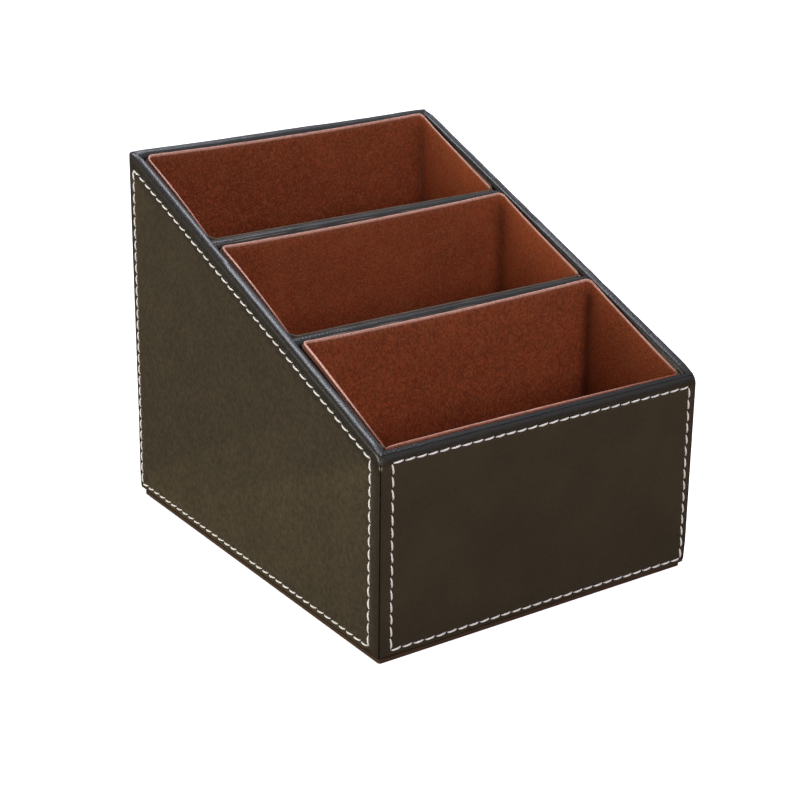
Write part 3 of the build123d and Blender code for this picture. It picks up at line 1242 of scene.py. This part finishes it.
def dress(piece, material, slot, *nodes):
    """Gives a finished piece its material, hangs it under the root empty and hides the CAD parts that it
    stands for.
    """
    piece.data.materials.clear()
    piece.data.materials.append(finish_named(material))
    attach(piece, "root")
    if nodes:
        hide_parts(*nodes)


class StorageBoxOperator:
    """What all operators of the box share."""

    bl_options = {"REGISTER", "UNDO"}


class MakeFinishes(StorageBoxOperator, bpy.types.Operator):
    """Makes the materials, and gives the hidden boards and cards theirs"""

    bl_idname = "storagebox.finishes"
    bl_label = "Finishes"

    def execute(self, context):
        finish = context.scene.finishes
        leather_material(grain_group())
        suede_material(nap_group())
        thread_material()
        fibre = fibre_group()
        fibre_material("brown_base_cloth", finish.base_colour, fibre, 1.6, 0.85)
        hidden = {
            "_board": fibre_material("grey_board", finish.board_colour, fibre, 1.0, 0.9),
            "_card": fibre_material("brown_card", finish.card_colour, fibre, 1.3, 0.9),
        }
        for name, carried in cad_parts.items():
            for ending, material in hidden.items():
                if name.endswith(ending):
                    carried.data.materials.clear()
                    carried.data.materials.append(material)
        return {"FINISHED"}


class MakeCovers(StorageBoxOperator, bpy.types.Operator):
    """Makes the four leather covers, mitred at the corners and folded over the rim"""

    bl_idname = "storagebox.covers"
    bl_label = "Leather covers"

    def execute(self, context):
        wrap = leather_wrap()
        for side, node_name in face_nodes.items():
            cover = leather_cover(wrap, side, side + "_leather")
            dress(cover, "dark_brown_leather", "leather", node_name + "_cover")
        bpy.data.objects.remove(wrap)
        return {"FINISHED"}


class MakeCaps(StorageBoxOperator, bpy.types.Operator):
    """Makes the leather caps folded over the two dividers"""

    bl_idname = "storagebox.caps"
    bl_label = "Divider caps"

    def execute(self, context):
        box = sizes()
        start_height = 20 * mm
        long_edge = 50 * mm
        step = 1.5 * box.mesh_step
        for place in ("front", "rear"):
            low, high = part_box(place + "_divider_cap")
            cap = new_block(place + "_cap_leather", low, (high.x, high.y, low.z + start_height))
            edit(cap, "VERT")
            for y in (low.y, high.y):
                pick(cap, "verts", lambda v: abs(v.co.y - y) < near and v.co.z > low.z + start_height / 2)
                move((0, 0, rim_height(y, box.cap_drop) - low.z - start_height))
            pick(cap, "faces", lambda f: f.normal.z < -aligned or abs(f.normal.x) > aligned)
            bpy.ops.mesh.delete(type="FACE")
            pick(cap, "edges", lambda e: e.calc_length() > long_edge and middle(e).z > low.z + 5 * mm)
            round_edges(box.cap_roll, 7)
            pick(cap, "edges", lambda e: e.calc_length() > long_edge)
            bpy.ops.mesh.subdivide(number_cuts=round((high.x - low.x) / step))
            finish_edit()
            weigh(cap, "rim", lambda spot: 1.0 - max(0.0, rim_height(spot.y) - spot.z) / (8 * mm))
            ripple(cap, "cap_waves", "rim", 11 * mm, 0.3 * mm)
            thicken(cap, box.leather)
            # The whole cap takes the rim's painted shade.
            keep_values(cap, {"rim_tone": lambda spot: 1.0})
            keep_sharp(cap, 50)
            dress(cap, "dark_brown_leather", "leather", place + "_divider_cap")
        return {"FINISHED"}


class MakeStitching(StorageBoxOperator, bpy.types.Operator):
    """Makes one stitch and sews the loops of stitches on the four outer faces"""

    bl_idname = "storagebox.stitching"
    bl_label = "Stitching"

    def one_stitch(self, stitch):
        """A stitch along X that rises out of one needle hole and dives into the next."""
        length_along = stitch.pitch - stitch.gap
        rise = 0.1 * mm
        dive = 0.5 * mm
        stations = 9
        deselect()
        bpy.ops.mesh.primitive_cylinder_add(
            vertices=8, radius=stitch.thread / 2, depth=length_along, rotation=(0, math.pi / 2, 0)
        )
        sample = settle(bpy.context.active_object)
        sample.name = "stitch"
        edit(sample, "EDGE")
        pick(sample, "edges", lambda e: e.calc_length() > length_along * 0.9)
        bpy.ops.mesh.subdivide(number_cuts=stations - 2)
        for number in range(stations):
            place = -1 + 2 * number / (stations - 1)
            x = place * length_along / 2
            pick(sample, "verts", lambda v: abs(v.co.x - x) < near)
            thin = 1.0 - 0.5 * abs(place) ** 3
            bpy.ops.transform.resize(value=(1, thin, thin), center_override=(x, 0, 0))
            move((0, 0, rise - dive * abs(place) ** 3))
        finish_edit()
        return sample

    def sew(self, sample, start, end, count, way, chance):
        """Copies of the stitch along one straight run, each a little out of line."""
        stitch = bpy.context.scene.stitch_sizes
        run = end - start
        along = run.normalized()
        across = way.cross(along)
        stretch = run.length / count / stitch.pitch
        sewn = []
        for number in range(count):
            spot = start + run * ((number + 0.5) / count) + across * chance.uniform(-0.06, 0.06) * mm
            turn_by = stitch.slant + math.radians(chance.uniform(-2.0, 2.0))
            place = Matrix((along, across, way)).transposed().to_4x4()
            place = Matrix.Translation(spot) @ place @ Matrix.Rotation(turn_by, 4, "Z")
            copy = sample.copy()
            copy.data = sample.data.copy()
            copy.data.transform(place @ Matrix.Diagonal((stretch, 1, 1, 1)))
            bpy.context.scene.collection.objects.link(copy)
            sewn.append(copy)
        return sewn

    def execute(self, context):
        sample = self.one_stitch(context.scene.stitch_sizes)
        chance = random.Random(7)
        for side, node_name in face_nodes.items():
            sewn = []
            for start, end, count in stitch_runs(side):
                sewn.extend(self.sew(sample, start, end, count, outward[side], chance))
            deselect()
            for copy in sewn:
                copy.select_set(True)
            context.view_layer.objects.active = sewn[0]
            bpy.ops.object.join()
            row = context.active_object
            row.name = side + "_stitches"
            row.data.name = row.name
            dress(row, "off_white_thread", "thread", node_name + "_stitching")
        bpy.data.objects.remove(sample)
        return {"FINISHED"}


class MakeLinings(StorageBoxOperator, bpy.types.Operator):
    """Makes the suede bands and the suede floors of the three compartments"""

    bl_idname = "storagebox.linings"
    bl_label = "Suede linings"

    def round_the_walls(self, low, high, walls):
        """A value that changes along each wall of a lining, by place, blended round the corners."""

        def curve(along, values):
            """Passes through three values at the start, the middle and the end of a wall."""
            start, halfway, end = values
            left_over = 1 - along
            at_start = start * left_over * (1 - 2 * along)
            at_middle = halfway * 4 * along * left_over
            at_end = end * along * (2 * along - 1)
            return at_start + at_middle + at_end

        def value_at(spot):
            across = held((spot.x - low.x) / (high.x - low.x))
            back = held((spot.y - low.y) / (high.y - low.y))
            nearby = (
                (spot.x - low.x, back, walls["left"]),
                (high.x - spot.x, back, walls["right"]),
                (spot.y - low.y, across, walls["front"]),
                (high.y - spot.y, across, walls["rear"]),
            )
            total = 0.0
            weights = 0.0
            for apart, along, values in nearby:
                weight = 1.0 / (max(0.0, apart) + 1.5 * mm) ** 2
                total += weight * curve(along, values)
                weights += weight
            return total / weights

        return value_at

    def walls(self, place, lining, low, high):
        """The four walls of a lining in one open piece, cut off above along the slope of the rim."""
        centre = (low + high) / 2
        spare_height = 8 * mm
        long_edge = 20 * mm
        lowest_ring = low.z + 6 * mm
        ring_depths = (3.2, 5, 8, 12.5, 19, 28, 38, 50, 64, 80, 96)
        suede = new_block(place + "_suede", low, (high.x, high.y, high.z + spare_height))
        edit(suede, "FACE")
        pick(suede, "faces", lambda f: abs(f.normal.z) > aligned)
        bpy.ops.mesh.delete(type="ONLY_FACE")
        for end, radius in ((1, lining.rear_corner), (-1, lining.front_corner)):
            pick(suede, "edges", lambda e: upright(e) and (middle(e).y - centre.y) * end > 0)
            round_edges(radius, 6)
        for axis, cuts in ((0, 110), (1, 42)):
            pick(suede, "edges", lambda e: abs(direction(e)[axis]) > aligned and e.calc_length() > long_edge)
            bpy.ops.mesh.subdivide(number_cuts=cuts)
        slope = slope_angle()
        normal = Vector((0, -math.sin(slope), math.cos(slope)))
        at_rim = Vector((0, 0, rim_height(0.0)))
        highest = Vector((0, 0, rim_height(0.0, -lining.highest)))
        bpy.ops.mesh.select_all(action="SELECT")
        bpy.ops.mesh.bisect(plane_co=highest, plane_no=normal, clear_outer=True, threshold=tiny)
        for below in ring_depths:
            ring = at_rim - Vector((0, 0, below * mm))
            if ring.z > lowest_ring:
                bpy.ops.mesh.select_all(action="SELECT")
                bpy.ops.mesh.bisect(plane_co=ring, plane_no=normal, threshold=tiny)
        finish_edit()
        return suede

    def crease_corners(self, suede, lining, low, high):
        """Draws the rounded rear corners out to a crease, from a little below the rim downwards."""
        widest = lining.rear_corner - lining.crease

        def drawn(corner_x, axis):
            def amount_at(spot):
                apart = (abs(corner_x - spot.x), high.y - spot.y)
                if max(apart) > lining.rear_corner + near:
                    return 0.0
                deep_enough = held((depth_below(spot) - 1.0 * mm) / (7 * mm))
                return deep_enough * max(0.0, apart[axis]) / lining.rear_corner

            return amount_at

        pulls = []
        for corner_x, side in ((high.x, 1), (low.x, -1)):
            for axis, way in ((0, side), (1, 1)):
                name = "crease%d%d" % (side, axis)
                weigh(suede, name, drawn(corner_x, axis))
                pulls.append((name, "XY"[axis], way * widest))
        for pull in pulls:
            displace(suede, *pull)

    def form_ridge(self, suede, lining, low, high):
        """Forms a ridge along the upper edge with a groove beside it; returns the distance from outside."""
        centre = (low + high) / 2
        halfway = lining.thickness / 2
        at_wall = lining.thickness + 0.4 * mm
        upper = low.z + 5 * mm

        def edge_of_top(edge, steepest):
            level = [face.normal.z > steepest for face in edge.link_faces]
            return middle(edge).z > upper and any(level) and not all(level)

        def outer_upper_edge(edge):
            if not edge_of_top(edge, 0.5):
                return False
            wall = min(edge.link_faces, key=lambda face: abs(face.normal.z))
            away = middle(edge) - centre
            return wall.normal.x * away.x + wall.normal.y * away.y > 0

        edit(suede, "EDGE")
        pick(suede, "edges", outer_upper_edge)
        outer = [spot.xy.to_3d() for spot in selected_places(suede)]
        pick(suede, "faces", lambda f: abs(f.normal.z) > 0.5 and middle(f).z > upper)
        bpy.ops.mesh.inset(thickness=lining.ridge)
        found = KDTree(len(outer))
        for number, spot in enumerate(outer):
            found.insert(spot, number)
        found.balance()

        def from_outer(spot):
            return found.find(Vector((spot.x, spot.y, 0)))[2]

        def is_low(spot):
            """The groove lies outside the ridge, but at the front of a compartment inside it."""
            from_front = spot.y - low.y
            from_side = min(spot.x - low.x, high.x - spot.x)
            if max(from_front, from_side) < at_wall:
                if from_side < from_front:
                    return from_outer(spot) < halfway
                return from_outer(spot) > halfway and from_side > lining.thickness
            return (from_outer(spot) > halfway) == (from_front < at_wall)

        def in_groove(vert):
            on_top = any(face.normal.z > 0.5 for face in vert.link_faces)
            return vert.co.z > upper and on_top and is_low(vert.co)

        mesh = bmesh.from_edit_mesh(suede.data)
        deep = [vert.index for vert in mesh.verts if in_groove(vert)]
        bpy.ops.object.mode_set(mode="OBJECT")
        suede.vertex_groups.new(name="groove").add(deep, 1.0, "REPLACE")
        displace(suede, "groove", "Z", -lining.groove / math.cos(slope_angle()))

        def ridge_edge(edge):
            return len(edge.link_faces) == 2 and edge_of_top(edge, 0.88) and not is_low(middle(edge))

        edit(suede, "EDGE")
        pick(suede, "edges", ridge_edge)
        round_edges(lining.ridge_round, 3)
        finish_edit()
        return from_outer

    def corner_tone(self, place, lining, low, high):
        """Painted shade in a lining's upright corners: how near a place is to one, from 0 to 1, as a function
        of place.
        """
        strength = {"front": 1.3, "middle": 1.0, "rear": 0.6}[place]

        def tone_at(spot):
            apart_x = min(spot.x - low.x, high.x - spot.x) - lining.thickness
            apart_y = min(spot.y - low.y, high.y - spot.y) - lining.thickness
            deep_enough = held((depth_below(spot) - 0.8 * mm) / (4 * mm))
            sharp = math.exp(-(abs(apart_x) + abs(apart_y)) / (1.3 * mm))
            soft = math.exp(-abs(apart_x) / (1.8 * mm) - abs(apart_y) / (3.8 * mm))
            return strength * deep_enough * (0.5 * sharp + 0.5 * soft)

        return tone_at

    def band(self, place, lining):
        """The suede of a compartment's walls."""
        finish = bpy.context.scene.finishes
        low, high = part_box(place + "_lining_suede")
        low.x += lining.shift_left
        sides = ("left", "right", "front", "rear")
        even = (1.0, 1.0, 1.0)
        drops = {side: getattr(lining, place + "_bay_" + side) for side in sides}
        # Painted highlight along the upper edge, its strength given wall by wall.
        edge_lit = {side: getattr(finish, "edge_highlight_" + side) for side in sides}
        if place != "front":
            edge_lit["front"] = finish.edge_highlight_behind
        # Painted light and shade: the right and rear walls are made lighter or darker by how much light falls
        # on them.
        wall_lights = {side: even for side in sides}
        wall_lights["right"] = getattr(finish, "nap_" + place)
        wall_lights["rear"] = getattr(finish, "nap_behind_" + place)
        drop = self.round_the_walls(low, high, drops)
        edge_light_at = self.round_the_walls(low, high, edge_lit)
        suede = self.walls(place, lining, low, high)
        self.crease_corners(suede, lining, low, high)

        # The upper edge settles below its highest place
        most = 4 * mm

        def settled(spot):
            return (drop(spot) + lining.highest) / most if depth_below(spot) < near - lining.highest else 0.0

        push(suede, "settled", settled, "Z", -most / math.cos(slope_angle()))
        ripple(suede, "suede_waves", "", 22 * mm, lining.wave, 0.9)
        thicken(suede, lining.thickness)
        from_outer = self.form_ridge(suede, lining, low, high)
        groove_reach = lining.thickness / 2 + 0.5 * lining.ridge

        def below_edge(spot):
            return depth_below(spot) - drop(spot)

        def edge_depth(spot):
            return max(0.0, below_edge(spot)) / (10 * mm)

        # Painted highlight on the ridge, weaker on the outside of the front wall.
        def rubbed(spot):
            outside = place == "front" and spot.y - low.y < 0.3 * mm
            return max(0.0, edge_light_at(spot) * (0.45 if outside else 1.0))

        # Painted shade on the groove beside the ridge and on the ridge's outer side.
        def groove_tone(spot):
            return 1.0 if below_edge(spot) > 0.25 * mm and from_outer(spot) < groove_reach else 0.0

        weigh(suede, "ridge", lambda spot: 0.8 * held(1.0 - edge_depth(spot) / 0.03))
        keep_values(
            suede,
            {
                "rubbed": rubbed,
                "groove_tone": groove_tone,
                "corner_tone": self.corner_tone(place, lining, low, high),
                # Painted light on the upper part of the walls.
                "upper_part": lambda spot: held(1.0 - (depth_below(spot) - 1 * mm) / (22 * mm)),
                "nap_tone": self.round_the_walls(low, high, wall_lights),
                "edge_depth": edge_depth,
            },
        )
        ripple(suede, "frayed", "ridge", 1.6 * mm, 0.14 * mm)
        keep_sharp(suede, 60)
        dress(suede, "red_brown_suede", "suede", place + "_lining_suede")

    def floor(self, place, lining):
        """The suede of a compartment's floor."""
        low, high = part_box(place + "_floor_suede")
        edge_width = 0.6 * mm
        edge_drop = 0.3 * mm
        suede = new_block(place + "_floor", low, high)
        edit(suede, "FACE")
        pick(suede, "edges", upright)
        round_edges(lining.rear_corner - lining.thickness - 0.2 * mm, 6)
        pick(suede, "faces", lambda f: f.normal.z > aligned)
        ring_widths = (0.15, 0.15, 0.3, 0.8)
        for width in ring_widths:
            bpy.ops.mesh.inset(thickness=width * mm, use_even_offset=True)
        finish_edit()

        def at_edge(spot):
            inside = min(spot.x - low.x, high.x - spot.x, spot.y - low.y, high.y - spot.y)
            return max(0.0, 1.0 - inside / edge_width) if spot.z > high.z - near else 0.0

        push(suede, "edge", at_edge, "Z", -edge_drop)
        keep_sharp(suede, 40)
        keep_values(suede, {"nap_tone": lambda spot: 1.0})
        dress(suede, "red_brown_suede", "suede", place + "_floor_suede")

    def execute(self, context):
        lining = context.scene.lining_sizes
        for place in ("front", "middle", "rear"):
            self.band(place, lining)
            self.floor(place, lining)
        return {"FINISHED"}


class MakeBase(StorageBoxOperator, bpy.types.Operator):
    """Makes the thin brown sheet glued under the box"""

    bl_idname = "storagebox.base"
    bl_label = "Base sheet"

    def execute(self, context):
        low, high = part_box("base_sheet")
        beyond_left_front = Vector((0.3 * mm, 0.35 * mm, 0))
        beyond_right = Vector((2.2 * mm, 0, 0))
        corner_radius = 1.0 * mm
        edge_radius = 0.08 * mm
        sheet = new_block("bottom_sheet", low - beyond_left_front, high + beyond_right)
        edit(sheet, "EDGE")
        pick(sheet, "edges", upright)
        round_edges(corner_radius, 6)

        def rim_edge(edge):
            return any(abs(face.normal.z) < 0.5 for face in edge.link_faces) and abs(direction(edge).z) < 0.1

        pick(sheet, "edges", rim_edge)
        round_edges(edge_radius, 3)
        finish_edit()
        keep_sharp(sheet, 40)
        dress(sheet, "brown_base_cloth", "base_cloth", "base_sheet")
        return {"FINISHED"}


# Place, size, power in watts and tint of each lamp
softboxes = {
    "top_softbox": ((0.27, 0.39, 1.24), (0.5, 0.6), 9.5, (0.86, 0.91, 1.0)),
    "high_softbox": ((0.7, -0.52, 1.0), (0.9, 0.9), 2.0, (0.9, 0.94, 1.0)),
    "left_softbox": ((-1.3, 0.06, 0.27), (0.9, 0.5), 14.8, (1.0, 0.95, 0.81)),
    "front_softbox": ((-0.2, -1.4, 0.75), (1.0, 0.7), 11.8, (1.0, 0.9, 0.95)),
    "rear_softbox": ((1.03, 0.68, 0.42), (0.6, 0.5), 0.7, (0.8, 0.9, 1.0)),
}


class SetStage(StorageBoxOperator, bpy.types.Operator):
    """Sets the pale floor, the soft lights and the camera"""

    bl_idname = "storagebox.stage"
    bl_label = "Stage"

    def floor(self):
        """A pale floor just under the box, which throws no light or reflection back at it."""
        just_under = -0.05 * mm
        deselect()
        bpy.ops.mesh.primitive_plane_add(size=6.0, location=(0, 0, just_under))
        floor = settle(bpy.context.active_object)
        floor.name = "studio_floor"
        material, tree, shader = new_material("white_floor")
        faint = noise(tree, object_place(tree), 3.0, 2.0)
        values = {
            "Base Color": mix_colour(tree, faint, (0.93, 0.93, 0.93), (0.95, 0.95, 0.95)),
            "Roughness": 0.9,
            "Specular IOR Level": 0.1,
            "Emission Color": (1.0, 1.0, 1.0, 1.0),
            "Emission Strength": 0.7,
        }
        feed(tree, shader, values)
        floor.data.materials.append(material)
        floor.visible_glossy = False
        floor.visible_diffuse = False

    def lamp(self, name, place, size, power, tint):
        """A soft lamp turned to the middle of the box."""
        middle_of_box = Vector((0, 0, 0.05))
        data = bpy.data.lights.new(name, "AREA")
        data.shape = "RECTANGLE"
        data.size, data.size_y = size
        data.energy = power
        data.color = tint
        lamp = bpy.data.objects.new(name, data)
        lamp.location = place
        lamp.rotation_euler = (middle_of_box - Vector(place)).to_track_quat("-Z", "Y").to_euler()
        bpy.context.scene.collection.objects.link(lamp)

    def world(self):
        """Faint light from all round, bluer from behind, before a white backdrop."""
        world = bpy.data.worlds.new("studio")
        world.use_nodes = True
        tree = world.node_tree
        tree.nodes.clear()
        around = node(tree, "ShaderNodeTexCoord").outputs["Generated"]
        split = node(tree, "ShaderNodeSeparateXYZ", {0: around}).outputs
        upward = spread(tree, split["Z"], -0.1, 0.25)
        rearward = plus(tree, times(tree, split["X"], 0.6), times(tree, split["Y"], 0.6))
        above = mix_colour(tree, spread(tree, rearward, 0.2, 0.75), (0.15, 0.155, 0.17), (0.34, 0.385, 0.475))
        sky = mix_colour(tree, upward, (0.17, 0.145, 0.095), above)
        light = node(tree, "ShaderNodeBackground", {"Color": sky, "Strength": 1.0}).outputs[0]
        backdrop = {"Color": (1.0, 1.0, 1.0, 1.0), "Strength": 1.2}
        white = node(tree, "ShaderNodeBackground", backdrop).outputs[0]
        seen = node(tree, "ShaderNodeLightPath").outputs["Is Camera Ray"]
        both = node(tree, "ShaderNodeMixShader", {0: seen, 1: light, 2: white}).outputs[0]
        output = node(tree, "ShaderNodeOutputWorld", {"Surface": both})
        output.is_active_output = True
        bpy.context.scene.world = world

    def camera(self, stage):
        """The camera, set out from a point on the upright middle line of the box."""
        data = bpy.data.cameras.new("studio_camera")
        data.sensor_width = 36.0
        data.lens = stage.lens
        data.shift_y = -0.073
        data.clip_start = 0.01
        turned = (
            Matrix.Rotation(stage.azimuth, 4, "Z")
            @ Matrix.Rotation(math.pi / 2 - stage.elevation, 4, "X")
            @ Matrix.Rotation(stage.roll, 4, "Z")
        )
        rightward = -1.4085 * mm
        upward = 10.7721 * mm
        camera = bpy.data.objects.new("studio_camera", data)
        offset = turned.to_3x3() @ Vector((rightward, upward, stage.distance))
        camera.location = Vector((0, 0, stage.aim_height)) + offset
        camera.rotation_euler = turned.to_euler()
        bpy.context.scene.collection.objects.link(camera)
        bpy.context.scene.camera = camera

    def execute(self, context):
        self.floor()
        self.world()
        for name, lamp in softboxes.items():
            self.lamp(name, *lamp)
        self.camera(context.scene.stage_settings)
        context.scene.view_settings.view_transform = "Standard"
        return {"FINISHED"}


class StorageBoxPanel(bpy.types.Panel):
    """Lists the steps of making the box"""

    bl_idname = "VIEW3D_PT_storage_box"
    bl_label = "Storage box"
    bl_space_type = "VIEW_3D"
    bl_region_type = "UI"
    bl_category = "Storage box"

    def draw(self, context):
        column = self.layout.column()
        for maker in makers:
            column.operator(maker.bl_idname)
        for name in settings:
            column.label(text=name.replace("_", " "))
            group = getattr(context.scene, name)
            for key in group.__annotations__:
                column.prop(group, key)


makers = (MakeFinishes, MakeCovers, MakeCaps, MakeStitching, MakeLinings, MakeBase, SetStage)
settings = {
    "box_sizes": BoxSizes,
    "stitch_sizes": StitchSizes,
    "lining_sizes": LiningSizes,
    "finishes": Finishes,
    "stage_settings": StageSettings,
}


def register():
    """Registers the settings, the operators and the panel."""
    for name, group in settings.items():
        bpy.utils.register_class(group)
        setattr(bpy.types.Scene, name, bpy.props.PointerProperty(type=group))
    for maker in makers:
        bpy.utils.register_class(maker)
    bpy.utils.register_class(StorageBoxPanel)


def unregister():
    """Takes them all away again, the last first."""
    bpy.utils.unregister_class(StorageBoxPanel)
    for maker in reversed(makers):
        bpy.utils.unregister_class(maker)
    for name, group in reversed(list(settings.items())):
        delattr(bpy.types.Scene, name)
        bpy.utils.unregister_class(group)


def main():
    """Makes the whole box and its stage."""
    register()
    bpy.ops.storagebox.finishes()
    bpy.ops.storagebox.covers()
    bpy.ops.storagebox.caps()
    bpy.ops.storagebox.stitching()
    bpy.ops.storagebox.linings()
    bpy.ops.storagebox.base()
    bpy.ops.storagebox.stage()


if __name__ == "__main__":
    main()
